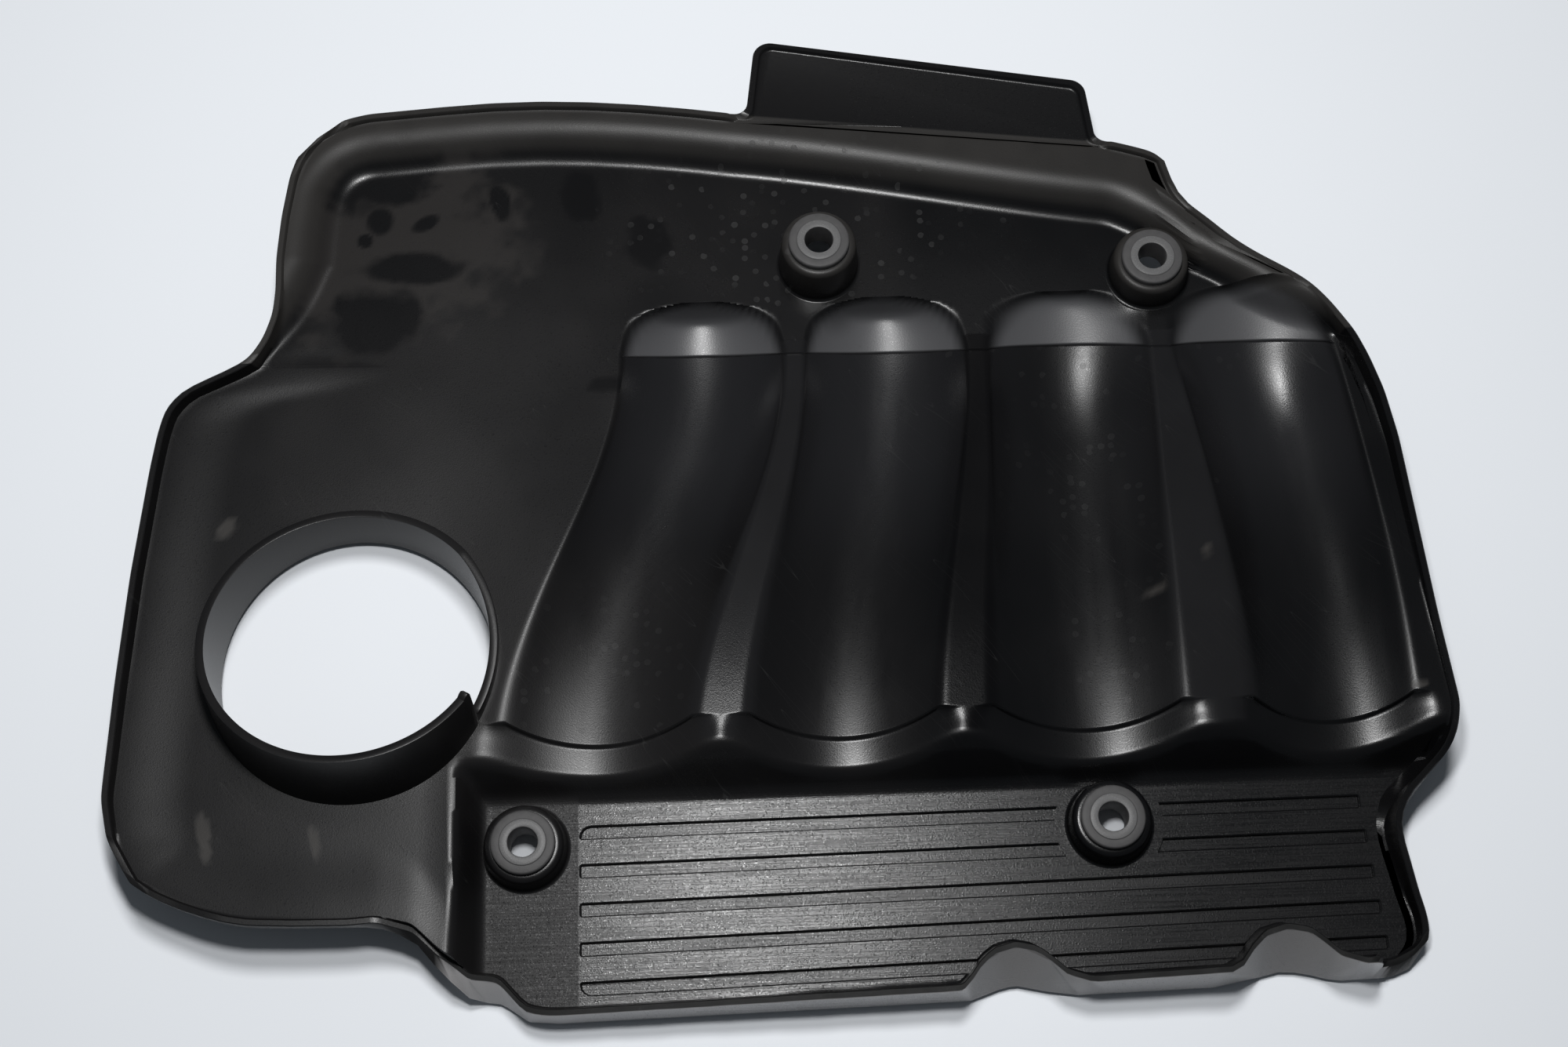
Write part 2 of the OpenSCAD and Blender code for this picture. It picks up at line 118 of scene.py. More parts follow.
# Moulding flash along the front rim, as waves of (height, rate, shift)
flash_waves = [(0.35, 0.21, 0), (0.3, 0.083, 1), (0.2, 0.53, 2)]
flash_share = 0.6
side_rim_y, back_rim_y, front_rim_y, front_rim_x = 120, 140, -140, 215
# The front wall leans back: how far its top stands behind its foot, as (x, y)
wall_lean = [(-160, 0), (-138, 2), (-122, 6), (-108, 6), (-97, 2), (-85, 1.1), (60, 1.6), (214, 3)]
# The two finger notches in the front wall, at its top and at its foot, as (x, y) from their middle
notch_x = [81.0, 180.0]
notch_top = [(-20, 0), (-17, 2.5), (-13, 8), (-8, 12.3), (0, 14.2), (8, 12.2), (13, 8), (18, 3.2), (27, 0)]
notch_foot = [(-16, 0), (-10, 2.6), (0, 4.7), (10, 2.5), (18, 0)]


def ease(t):
    t = np.clip(t, 0, 1)
    return t * t * (3 - 2 * t)


def ramp(at, start, stop):
    """A soft step: 0 up to the start, 1 from the stop on."""
    return ease((at - start) / (stop - start))


def mix(a, b, t):
    return a + (b - a) * t


def blend_min(a, b, reach):
    return np.minimum(a, b) - np.maximum(reach - np.abs(a - b), 0) ** 2 / (4 * reach)


def blend_max(a, b, reach):
    return -blend_min(-a, -b, reach)


def along(points, at, reach=corner_reach):
    """Reads an edge off its points, with each corner rounded over the reach."""
    known = np.array(points, float)
    steps = np.linspace(-1, 1, 9)
    weights = 1.1 - np.abs(steps)
    read = sum(w * np.interp(at + s * reach, known[:, 0], known[:, 1]) for s, w in zip(steps, weights))
    return read / weights.sum()


def left_x(y):
    return x_fit * along(left_edge, y / y_fit)


def right_x(y):
    return x_fit * along(right_edge, y / y_fit)


def back_y(x):
    return y_fit * along(back_edge, x / x_fit)


def front_y(x, top):
    """Front edge of the sheet; its top leans back and dips further into the notches than its foot."""
    y = y_fit * along(front_edge, x / x_fit, reach=3.0)
    for middle in notch_x:
        y = y + along(notch_top if top else notch_foot, x / x_fit - middle, reach=1.5)
    return y + along(wall_lean, x / x_fit, reach=4.0) * top


def slant(edge, at):
    """Lengthening of a width measured along an axis where the edge runs at an angle."""
    return np.minimum(np.hypot(1, (edge(at + 1) - edge(at - 1)) / 2), most_slant)


def runner_share(i, y):
    t = np.clip((seam_left_y - y) / (seam_left_y - mouth_y), 0, 1)
    return t * t * (3 - 2 * t) if i < runner_count - 1 else t * (2 - t)


def runner_x(i, y):
    place = i - (runner_count - 1) / 2
    return mix(rear_x + place * rear_pitch, mouth_x + place * mouth_pitch, runner_share(i, y))


def runner_half(i, y):
    return mix(rear_half, mouth_half if i < runner_count - 1 else last_mouth_half, runner_share(i, y))


def bow(off, half, depth):
    """Depth of a round channel below its edges; negative outside them."""
    radius = (half * half + depth * depth) / (2 * depth)
    return np.sqrt(np.maximum(radius * radius - off * off, 0)) - (radius - depth)


def seam_line(x):
    """The dark seam across the runners, shifted where it dips into each of them."""
    y = mix(seam_left_y, seam_right_y, np.clip((x - seam_left_x) / seam_w, 0, 1))
    dip = np.zeros_like(x)
    for i in range(runner_count):
        off = x - runner_x(i, y)
        dip = np.maximum(dip, bow(off, runner_half(i, y), rear_depth))
    return y + seam_lean * dip


def step_line(x):
    """The moulded step at the mouth of each runner: an arc that sags to the front."""
    sag = np.zeros_like(x)
    for i in range(runner_count):
        off = x - runner_x(i, np.full_like(x, step_y))
        sag = np.maximum(sag, bow(off, runner_half(i, np.full_like(x, step_y)), mouth_depth))
    return step_y - step_sag * sag / mouth_depth


def edge_reach(y):
    """How softly the edge of a runner turns into the web, from its dome to its mouth."""
    reach = edge_round + dome_edge * ramp(y, 66, 76) + body_edge * ramp(y, 20, -40)
    return reach + mouth_edge * ramp(y, step_y, step_y - 6)


def runner_cut(i, x, y):
    """Depth of one runner below the webs: it climbs to its dome behind and to its wider mouth in front."""
    half = runner_half(i, y)
    off = x - runner_x(i, y)
    seam = seam_line(x)
    depth = mix(rear_depth, mouth_depth, ramp(y, deep_y, mouth_y))
    depth = depth - seam_rise[i] * np.clip((y - deep_y) / (seam - deep_y), 0, 1) ** 2
    t = np.clip((y - seam) / (dome_top_y - seam), 0, 1)
    pitch = dome_slope[i] * (dome_top_y - seam) / (rear_depth - seam_rise[i])
    dome = depth * (1 - pitch * t - (1 - pitch) * t ** dome_power)
    body = bow(off, half * np.sqrt(np.maximum(1 - t * t, 1e-4)), np.maximum(dome, 0.01))
    body = np.where(y < dome_top_y, body, -5.0)
    mouth = bow(off, half + step_side, depth + step_h)
    cut = mix(body, mouth, ease((step_line(x) - y) / step_run))
    return blend_max(cut, 0.0, edge_reach(y))


def web_height(x, y):
    """The sheet without its runners: the floor, the webs and the bowl on the left."""
    webs = floor_z + web_rise * ramp(y, seam_left_y, seam_left_y - web_climb)
    edge = np.minimum((x - left_x(y)) / slant(left_x, y), y - y_fit * along(front_edge, x / x_fit))
    bowl = floor_z - bowl_dip + bowl_dip * ramp(y, -60, 60) + bowl_rise * ease(1 - (edge - wall) / bowl_w)
    left = ramp(x, -75, -135) * ramp(y, 92, 66)
    return mix(webs, bowl, left)


def flange_extra(x):
    """How much wider the rear flange is towards its right end."""
    return flange_wider * ramp(x, -20, 160)


def flange_share(x, y):
    """1 on the raised rear flange, 0 on the floor."""
    back = back_y(x) - y - flange_extra(x)
    right = (right_x(y) - x) * flange_right_share + np.maximum(0, flange_right_y - y)
    left = (x - left_x(y)) + flange_left_in + np.maximum(0, flange_left_y - y) * flange_left_lean
    inside = blend_min(blend_min(back, right, flange_right_turn), left, flange_left_turn)
    off = np.maximum(inside - wall - flange_w, 0)
    on_arc = np.minimum(off, shoulder_r * shoulder_share)
    drop = shoulder_r - np.sqrt(shoulder_r ** 2 - on_arc ** 2) + (off - on_arc)
    return blend_max(1 - drop / (flange_z - floor_z), 0.0, shoulder_foot)


def relief(x, y):
    """Height of the engine side of the sheet, without its rim."""
    cut = np.maximum.reduce([runner_cut(i, x, y) for i in range(runner_count)])
    first, last = runner_x(0, seam_left_y) - rear_half, runner_x(runner_count - 1, seam_left_y) + rear_half
    on_runners = (x > first) & (x < last)
    cut = cut + np.where(on_runners, seam_deep * ease(1 - np.abs(y - seam_line(x)) / seam_half), 0)
    upper = web_height(x, y) - cut + (flange_z - floor_z) * flange_share(x, y)
    climb = blend_max((y - panel_back_y) * slope_rise, (panel_left_x - x) * left_rise, panel_corner)
    pit = panel_z + blend_max(climb, 0.0, panel_fillet)
    return blend_min(upper, pit, brow_round)


def rim_height(x, y):
    """Height of the rim: it falls from the rear flange to the front, where it carries a little flash."""
    flash = sum(high * np.sin(x * rate + shift) for high, rate, shift in flash_waves)
    front = along(front_rim, x, reach=2.0) + flash * ramp(x, -90, -70) * ramp(x, 212, 206) * flash_share
    side = np.where(x < 0, along(left_rim, y), along(right_rim, y))
    beside_tab = np.maximum(ramp(x, tab_left_x, tab_left_x - 6), ramp(x, tab_right_x, tab_right_x + 6))
    back = flange_z + lip_h * beside_tab
    height = np.where(y > side_rim_y, np.where(y > back_rim_y, back, np.minimum(side, back)), side)
    at_front = ramp(y, front_rim_y, front_rim_y - 12) * ramp(x, -225, -205)
    return mix(height, front, np.where(x < front_rim_x, at_front, 0))


def span(key, first, count, last):
    """Grid lines from one key line to the next, as (key, share, offset, width of both ends)."""
    ends = first[-1] + last[0] + 1.0
    start = [(key, 0, off, ends) for off in first]
    shares = [j / (count + 1) for j in range(1, count + 1)]
    inner = [(key, share, mix(first[-1], -last[0], share), ends) for share in shares]
    return start + inner + [(key, 1, -off, ends) for off in last]


thin = 1
rim_steps = [0, rim_round, wall - rim_round, wall, wall + 0.5, wall + 1.1, wall + 1.9, wall + 3.0, wall + 4.6]
web_side = [5.0, 3.8, 2.6, 1.6, 0.8]
runner_side = [0, 0.5, 1.1, 2.0, 3.2]
cols = span(0, rim_steps, 76 // thin, web_side)
for i in range(runner_count):
    cols += span(2 * i + 1, runner_side, 22 // thin, runner_side[:0:-1])
    at_rim = i == runner_count - 1
    cols += span(2 * i + 2, [0] + web_side[::-1], 3, rim_steps[::-1] if at_rim else web_side)
rows = span(0, rim_steps, 14 // thin, [7.0, 5.2, 3.8, 2.6, 1.3])
rows += span(1, [0, 1.3, 2.6, 3.8, 5.2], 12 // thin, [2.0])
rows += span(2, [0], 6, [1.6, 1.2, 0.8, 0.4])
rows += span(3, [0, 0.4, 0.9, 1.6], 52 // thin, [1.4, 0.9, 0.6, 0.3])
rows += span(4, [0, 0.3, 0.6, 0.9, 1.4], 24 // thin, [1.5, 0.9, 0.4])
rows += span(5, [0, 0.5, 1.2], 44 // thin, [0.8])
rows += span(6, [0, 0.8], 20 // thin, rim_steps[::-1])


def key_x(k, y):
    """Place along X of a key line at y: the left edge, both sides of each runner, the right edge."""
    low = np.minimum(y, dome_top_y)
    left, right = left_x(low), right_x(low)
    if k == 0:
        x = left
    elif k == 2 * runner_count + 1:
        x = right
    else:
        i = (k - 1) // 2
        side = -1 if k % 2 else 1
        room = 8 + (2 * runner_count - k) * 2
        x = np.minimum(runner_x(i, low) + side * runner_half(i, low), right - room)
    beyond = left_x(y) + (x - left) / (right - left) * (right_x(y) - left_x(y))
    return np.where(y <= low, x, beyond)


def key_rows(x, top):
    """Places along Y of the key lines at x, from the front edge to the back edge."""
    front = front_y(x, top)
    panel_back = np.maximum(panel_back_y, front + least_panel_d)
    slope_top = np.maximum(panel_back + least_slope_d, slope_top_y)
    shoulder = back_y(x) - wall - flange_w - slope_w - flange_extra(x)
    return [front, panel_back, slope_top, step_line(x), seam_line(x), np.full_like(x, dome_top_y), shoulder,
            back_y(x)]


def grid(col_lines, row_lines, top, turns=10):
    """Plan position of every grid point, found by turns along X and along Y."""
    x = np.zeros((len(row_lines), len(col_lines)))
    y = np.zeros_like(x)
    x += np.linspace(-200, 200, len(col_lines))[None, :]
    for turn in range(turns):
        keys = key_rows(x, top)
        new_y = np.empty_like(y)
        for r, (k, share, off, ends) in enumerate(row_lines):
            low, high = keys[k][r], keys[k + 1][r]
            shrink = np.minimum(1, (high - low) / ends)
            new_y[r] = low + share * (high - low) + off * shrink
        y = new_y if turn < 2 else (y + new_y) / 2
        new_x = np.empty_like(x)
        left_slant, right_slant = slant(left_x, y), slant(right_x, y)
        for c, (k, share, off, ends) in enumerate(col_lines):
            low, high = key_x(k, y[:, c]), key_x(k + 1, y[:, c])
            shrink = np.minimum(1, (high - low) / ends)
            at_left = k == 0 and share < 0.5 and off <= rim_steps[-1]
            at_right = k == 2 * runner_count and share == 1
            widen = left_slant[:, c] if at_left else right_slant[:, c] if at_right else shrink
            new_x[:, c] = low + share * (high - low) + off * widen
        x = new_x if turn < 2 else (x + new_x) / 2
    return x, y


def top_height(x, y):
    """The sheet with its rim: a flat-topped wall whose inner face drops to the sheet."""
    inside = np.minimum.reduce([(x - left_x(y)) / slant(left_x, y), (right_x(y) - x) / slant(right_x, y),
                                y - front_y(x, 1), back_y(x) - y])
    rim = rim_height(x, y)
    face = rim - rim_face_slope * np.maximum(inside - wall, 0)
    height = blend_max(relief(x, y), face, rim_fillet)
    crown = rim - rim_dip * ease(1 - inside / rim_round) - rim_dip * ease(1 - (wall - inside) / rim_round)
    return np.where(inside <= wall + 1e-6, crown, np.minimum(height, np.maximum(rim - rim_dip, relief(x, y))))


x_top, y_top = grid(cols, rows, 1)
z_top = top_height(x_top, y_top)
under_every = 4
edge_lines = [0, 3, -4, -1]
keep_col = sorted({n % len(cols) for n in edge_lines} | set(range(0, len(cols), under_every)))
foot_rows = {j for j, line in enumerate(rows) if line[0] == 1 and line[1] == 0}
keep_row = sorted({n % len(rows) for n in edge_lines} | set(range(0, len(rows), under_every)) | foot_rows)
x_under, y_under = grid([cols[c] for c in keep_col], [rows[r] for r in keep_row], 0)
slope_x = (relief(x_under + 1, y_under) - relief(x_under - 1, y_under)) / 2
slope_y = (relief(x_under, y_under + 1) - relief(x_under, y_under - 1)) / 2
most_steep = 2
steep = np.minimum(np.sqrt(1 + slope_x ** 2 + slope_y ** 2), most_steep)
z_under = np.minimum(relief(x_under, y_under), rim_height(x_under, y_under)) - wall * steep
z_under = np.maximum(z_under, 0)


def new_object(name, verts, faces):
    """A mesh object from points in millimetres."""
    mesh = bpy.data.meshes.new(name)
    mesh.from_pydata([tuple(v) for v in np.asarray(verts) * MM], [], faces)
    mesh.validate()
    obj = bpy.data.objects.new(name, mesh)
    bpy.context.scene.collection.objects.link(obj)
    return obj


def sheet_mesh():
    """Closed mesh of the sheet: fine on the engine side, coarse below, with the edges stitched."""
    ny, nx = x_top.shape
    my, mx = x_under.shape
    verts = np.vstack([np.stack([x_top, y_top, z_top], -1).reshape(-1, 3),
                       np.stack([x_under, y_under, z_under], -1).reshape(-1, 3)])
    base = nx * ny
    faces = [(j * nx + i, j * nx + i + 1, (j + 1) * nx + i + 1, (j + 1) * nx + i)
             for j in range(ny - 1) for i in range(nx - 1)]
    faces += [(base + j * mx + i, base + (j + 1) * mx + i, base + (j + 1) * mx + i + 1, base + j * mx + i + 1)
              for j in range(my - 1) for i in range(mx - 1)]
    for i in range(mx - 1):
        fine_cols = list(range(keep_col[i], keep_col[i + 1] + 1))
        faces.append([base + i, base + i + 1] + fine_cols[::-1])
        back = [(ny - 1) * nx + c for c in fine_cols]
        faces.append([base + (my - 1) * mx + i + 1, base + (my - 1) * mx + i] + back)
    for j in range(my - 1):
        fine_rows = list(range(keep_row[j], keep_row[j + 1] + 1))
        faces.append([base + (j + 1) * mx, base + j * mx] + [r * nx for r in fine_rows])
        right = [r * nx + nx - 1 for r in fine_rows[::-1]]
        faces.append([base + j * mx + mx - 1, base + (j + 1) * mx + mx - 1] + right)
    return new_object("cover_moulding", verts, faces)


cover = sheet_mesh()


# The rear tab: a flat tongue of the same moulding, level with the rear flange.
# A low lip runs round its free edges and meets the lip of the sheet.
tab_corners = [(-18, 160.6, 0.5), (-18, 163.4, 0.5), (-6.6, 162.2, 5.0), (-2, 196.7, 7.0), (132, 173, 7.0),
               (134.8, 145.9, 5.0), (143, 143.9, 0.5), (142.5, 142.0, 0.5), (134, 143.6, 0.5),
               (-8, 159.8, 0.5)]
tab_lip_h, large_arc = 1.5, 6.0


def rounded(corners, shrink=0.0, steps=8):
    """Outline from (x, y, radius) corners, each turned into an arc; the large arcs shrink with an inset."""
    points = []
    count = len(corners)
    for k in range(count):
        here, before, after = (np.array(corners[j % count][:2], float) for j in (k, k - 1, k + 1))
        u = (before - here) / np.linalg.norm(before - here)
        v = (after - here) / np.linalg.norm(after - here)
        radius = corners[k][2] - shrink if corners[k][2] > large_arc else corners[k][2]
        half = math.acos(np.clip(u @ v, -1, 1)) / 2
        middle = here + (u + v) / np.linalg.norm(u + v) * radius / math.sin(half)
        start = here + u * radius / math.tan(half) - middle
        stop = here + v * radius / math.tan(half) - middle
        turn = math.atan2(start[0] * stop[1] - start[1] * stop[0], start @ stop)
        for s in range(steps + 1):
            a = turn * s / steps
            points.append(middle + (start[0] * math.cos(a) - start[1] * math.sin(a),
                                    start[0] * math.sin(a) + start[1] * math.cos(a)))
    return np.array(points)


def ring_faces(rings, n, closed):
    """Quads that join each ring of n points to the next one, and the last to the first where closed."""
    return [(s * n + k, (s + 1) % rings * n + k, (s + 1) % rings * n + (k + 1) % n, s * n + (k + 1) % n)
            for s in range(rings if closed else rings - 1) for k in range(n)]


def inset_corners(corners, by):
    """Corners moved inwards, apart from the hidden edge that lies within the rim of the sheet."""
    return [(x + (0 if y < 161 and x < 60 or y < 145 else by if x < 60 else -by),
             y - (by if y > 161.5 or x > 100 and y > 145 else 0), r) for x, y, r in corners]


# Section of the tab's edge, from its underside over the lip to the flat, as (inset, height above the flange)
tab_levels = [(0, -wall), (0, tab_lip_h - 0.25), (0.25, tab_lip_h), (wall - 0.4, tab_lip_h),
              (wall - 0.1, tab_lip_h - 0.3), (wall + 0.15, 0.6), (wall + 0.5, 0.2), (wall + 1.1, 0.0)]
tab_rings = []
for inset, level in tab_levels:
    ring = rounded(inset_corners(tab_corners, inset), inset * 0.8)
    lip_here = ease((ring[:, 1] - back_y(ring[:, 0]) + 2.5) / 2.5)
    height = flange_z + 0.02 + (level * lip_here if level > 0 else np.full(len(ring), level))
    tab_rings.append(np.column_stack([ring[:, 0] * x_fit, ring[:, 1] * y_fit, height]))
ring_n = len(tab_rings[0])
tab_faces = ring_faces(len(tab_rings), ring_n, False)
tab_faces.append(list(range(ring_n)))
tab_faces.append([(len(tab_rings) - 1) * ring_n + i for i in range(ring_n)][::-1])
tab = new_object("tab", np.vstack(tab_rings), tab_faces)


# The oil filler collar: a thin ring moulded on the sheet, leaning to the rear.
# Its rim is cut low on the right, beside the first runner, and its foot ends above the table.
collar_x, collar_y, collar_rim_z = -162.0, -54.0, 34.0
collar_r, collar_wall, collar_lean, collar_foot_z, collar_draft = 52.5, 3.2, math.radians(14.8), 3.5, 0.025
low_cut_z, low_cut_from, low_cut_to, low_cut_ease = 25.0, math.radians(-31), math.radians(44), 0.02
tooth_h, tooth_half = 1.6, 0.035
bore_ends = (-70, 40)
collar_axis = np.array([0, math.sin(collar_lean), math.cos(collar_lean)])
collar_side = np.array([0, math.cos(collar_lean), -math.sin(collar_lean)])


def collar_point(radius, angle, up):
    """Point on the collar: radius and angle about its leaning axis, up from the middle of its rim."""
    middle = np.array([collar_x, collar_y, collar_rim_z]) + collar_axis * up
    return middle + np.array([radius * math.cos(angle), 0, 0]) + collar_side * radius * math.sin(angle)


def collar_up(radius, angle, z):
    """How far up the axis the collar reaches the height z."""
    return (z - collar_rim_z + radius * math.sin(angle) * math.sin(collar_lean)) / math.cos(collar_lean)


def collar_ring(steps=288):
    """The thin wall of the collar, with its low stretch and the small tooth where that begins."""
    verts = []
    outer = collar_r + collar_wall
    for s in range(steps):
        angle = -math.pi + 2 * math.pi * s / steps
        low = float(ease((angle - low_cut_from) / low_cut_ease) * ease((low_cut_to - angle) / low_cut_ease))
        tooth = tooth_h * float(ease(1 - abs(angle - low_cut_from + tooth_half) / tooth_half))
        top = mix(0.0, min(0.0, collar_up(outer, angle, low_cut_z)), low) + tooth
        foot_out = collar_up(outer, angle, collar_foot_z)
        foot_in = collar_up(collar_r, angle, collar_foot_z)
        draft = (top - foot_out) * collar_draft
        profile = [(outer + draft, foot_out), (outer, top - 0.5), (outer - 0.15, top - 0.12),
                   (outer - 0.5, top), (collar_r + 0.4, top), (collar_r + 0.1, top - 0.15),
                   (collar_r, top - 0.5), (collar_r, foot_in)]
        verts += [collar_point(radius, angle, up) for radius, up in profile]
    return new_object("collar", verts, ring_faces(steps, len(profile), True))


def capped(name, rings):
    """Closed solid through rings of equal point count."""
    n = len(rings[0])
    verts = [point for ring in rings for point in ring]
    faces = [(j * n + k, j * n + (k + 1) % n, (j + 1) * n + (k + 1) % n, (j + 1) * n + k)
             for j in range(len(rings) - 1) for k in range(n)]
    faces += [list(range(n))[::-1], list(range(len(verts) - n, len(verts)))]
    return new_object(name, verts, faces)


def collar_bore(steps=288):
    """The round space inside the collar, which is cut out of the sheet."""
    turns = [2 * math.pi * s / steps for s in range(steps)]
    return capped("collar_bore", [[collar_point(collar_r + 0.4, a, up) for a in turns] for up in bore_ends])


# The four mounting bosses: hollow cones that rise from the sheet and grip the grommets.
# Each has a rounded shoulder, a filleted foot and a web with a round hole near its top.
boss_names = ["rear_left", "rear_right", "front_left", "front_right"]
flange_t, web_t = 3.0, 3.0
web_hole_r, recess_r = 8.75, 12.5
boss_wall, boss_flare, boss_round, foot_r = 2.0, 1.2, 2.6, 1.6
ground_at = 17.0
bosses = []
for name in boss_names:
    low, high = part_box("grommet_" + name)
    middle = (low + high) / 2 / MM
    bosses.append((middle.x, middle.y, high.z / MM))


def arc(cx, cz, radius, start, stop, steps=6):
    """Points of an arc in a turned section, in degrees."""
    return [(cx + radius * math.cos(math.radians(a)), cz + radius * math.sin(math.radians(a)))
            for a in np.linspace(start, stop, steps + 1)]


def circle(radius, at, z, steps=96):
    turns = [2 * math.pi * s / steps for s in range(steps)]
    return [(at[0] + radius * math.cos(a), at[1] + radius * math.sin(a), z) for a in turns]


def turned(name, profile, at=(0, 0), steps=96):
    """Solid of revolution of a closed section of (radius, z) points."""
    turns = [2 * math.pi * s / steps for s in range(steps)]
    verts = [(at[0] + r * math.cos(a), at[1] + r * math.sin(a), z) for a in turns for r, z in profile]
    return new_object(name, verts, ring_faces(steps, len(profile), True))


def cylinder(name, radius, low, high, at):
    return capped(name, [circle(radius, at, low), circle(radius, at, high)])


boss_rings, boss_cutters = [], []
for name, (x, y, z) in zip(boss_names, bosses):
    beside = relief(np.array([x + ground_at, x - ground_at]), np.array([y, y]))
    ground = panel_z if y < 0 else float(beside.min())
    top = z - flange_t
    outer = recess_r + boss_wall
    foot = outer + boss_flare
    base = ground - wall + 0.3
    profile = arc(foot + foot_r, ground + foot_r - 0.05, foot_r, 270, 180)
    profile += arc(outer - boss_round + 0.4, top - boss_round, boss_round, 8, 90)
    profile += [(web_hole_r, top), (web_hole_r, top - web_t), (recess_r, top - web_t), (recess_r, base)]
    profile += [(foot + foot_r, base)]
    boss_rings.append(turned("boss_" + name, profile[::-1], (x, y)))
    boss_cutters.append(cylinder("boss_hole_" + name, recess_r + 0.3, -5, ground + 6, (x, y)))


# The grooves of the panel: five long straight channels, moulded with the sheet.
# They stop short of both ends of the panel, and the first two break off round the front right boss.
groove_count, groove_half, groove_depth = 5, 2.25, 1.6
groove_left_x, groove_right_x = -77.2, 218.0
groove_left_y, groove_left_pitch = -126.3, 14.5
groove_right_y, groove_right_pitch = -124.3, 13.25
groove_boss_r, groove_corner, panel_corner_r = 20.5, 0.6, 4.0
# Section of a groove, from its floor to above the panel, as (widening, height over the panel)
groove_levels = [(-0.25, -groove_depth), (0.0, -groove_depth + 0.3), (0.0, -0.45), (0.5, 0.0), (0.8, 1.5)]


def groove_y(i, x):
    """Middle line of one of the grooves."""
    share = (x - groove_left_x) / (groove_right_x - groove_left_x)
    return mix(groove_left_y - i * groove_left_pitch, groove_right_y - i * groove_right_pitch, share)


def groove_cutter(i):
    low, high = groove_left_x, groove_right_x - 3 + i
    rings = []
    for grow, level in groove_levels:
        half = groove_half + grow
        plain = groove_corner + grow
        front_left = panel_corner_r + grow if i == groove_count - 1 else plain
        back_left = panel_corner_r + grow if i == 0 else plain
        corners = [(low - grow, groove_y(i, low) - half, front_left),
                   (high + grow, groove_y(i, high) - half, plain),
                   (high + grow, groove_y(i, high) + half, plain),
                   (low - grow, groove_y(i, low) + half, back_left)]
        rings.append([(x * x_fit, y * y_fit, panel_z + level) for x, y in rounded(corners, 0.0, 4)])
    return capped(f"groove_{i}", rings)


def join(name, objects):
    """Several separate solids as one object."""
    mesh = bpy.data.meshes.new(name)
    verts, faces = [], []
    for obj in objects:
        start = len(verts)
        verts += [v.co[:] for v in obj.data.vertices]
        faces += [[start + i for i in p.vertices] for p in obj.data.polygons]
        bpy.data.objects.remove(obj)
    mesh.from_pydata(verts, [], faces)
    joined = bpy.data.objects.new(name, mesh)
    bpy.context.scene.collection.objects.link(joined)
    return joined


def combine(target, tool, operation):
    """Applies a boolean of the tool to the target, and removes the tool."""
    modifier = target.modifiers.new(operation, "BOOLEAN")
    modifier.operation = operation
    modifier.object = tool
    modifier.solver = "MANIFOLD"
    bpy.context.view_layer.update()
    ready = target.evaluated_get(bpy.context.evaluated_depsgraph_get())
    target.data = bpy.data.meshes.new_from_object(ready)
    target.modifiers.clear()
    bpy.data.objects.remove(tool)


grooves = [groove_cutter(i) for i in range(groove_count)]
for groove in grooves[:2]:
    combine(groove, cylinder("stop", groove_boss_r, -5, 20, bosses[3]), "DIFFERENCE")
combine(cover, join("cutters", boss_cutters + grooves + [collar_bore()]), "DIFFERENCE")
combine(cover, join("additions", boss_rings + [collar_ring(), tab]), "UNION")
cover.data.shade_smooth()
cover.data.set_sharp_from_angle(angle=math.radians(35))
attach(cover, "root")
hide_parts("cover")

# The finish of the moulding: satin black nylon under a thin, uneven film of oil, with bare scuffs,
# dried water and dark smudges where it was held. Light is painted in as well: a painted sheen on the rear
# of the runners, a painted highlight on their domes, a painted reflection on the rear flange and its slope,
# and a painted reflection of the pale table on the outer face of the front wall. How dull and how pale
# each place is, is worked out here from where it lies, and is kept on the points of the mesh.
points = np.empty(len(cover.data.vertices) * 3)
cover.data.vertices.foreach_get("co", points)
at_x, at_y, at_z = points.reshape(-1, 3).T / MM
cut_depth = np.maximum.reduce([runner_cut(i, at_x, at_y) for i in range(runner_count)])
on_edge = 0.03
behind_front = at_y - front_y(at_x, 1)
on_front = (at_x > -128) & (at_x < 217)
in_notch = ease(sum(along(notch_top, at_x - middle, reach=1.5) for middle in notch_x) / 6)
behind_step = ramp(at_y, step_line(at_x), step_line(at_x) + 1.5)
between = (at_x > runner_x(0, at_y)) & (at_x < runner_x(3, at_y)) & (at_y > -96) & (at_y < 66)
runner = ramp(cut_depth, 0.6, 2.6) * behind_step * (at_y <= seam_line(at_x))
dome = ramp(cut_depth, 0.4, 5.4) * ease((at_y - seam_line(at_x)) / 0.8)
web = between * (1 - ease(cut_depth / 2.5)) * (at_z > 12)
panel = ease((panel_z + 2.5 - at_z) / 1.5) * (at_y < panel_back_y + 4) * (at_x > panel_left_x - 2)
# Painted reflection: the outer face of the front wall is painted light grey for the pale table mirrored in
# it, less so in the notches
front_wall_reflection = (behind_front < on_edge) * on_front * (1 - 0.45 * in_notch)
crown = (behind_front < wall) * (behind_front >= on_edge) * (at_z > 6.5) * (at_x > -128)
flange = ramp(at_z, floor_z + 2, floor_z + 6) * (at_y > 60) * (at_y < back_y(at_x))
left = ramp(at_x, 66, 42)
corner = ramp(at_x, -40, -130)


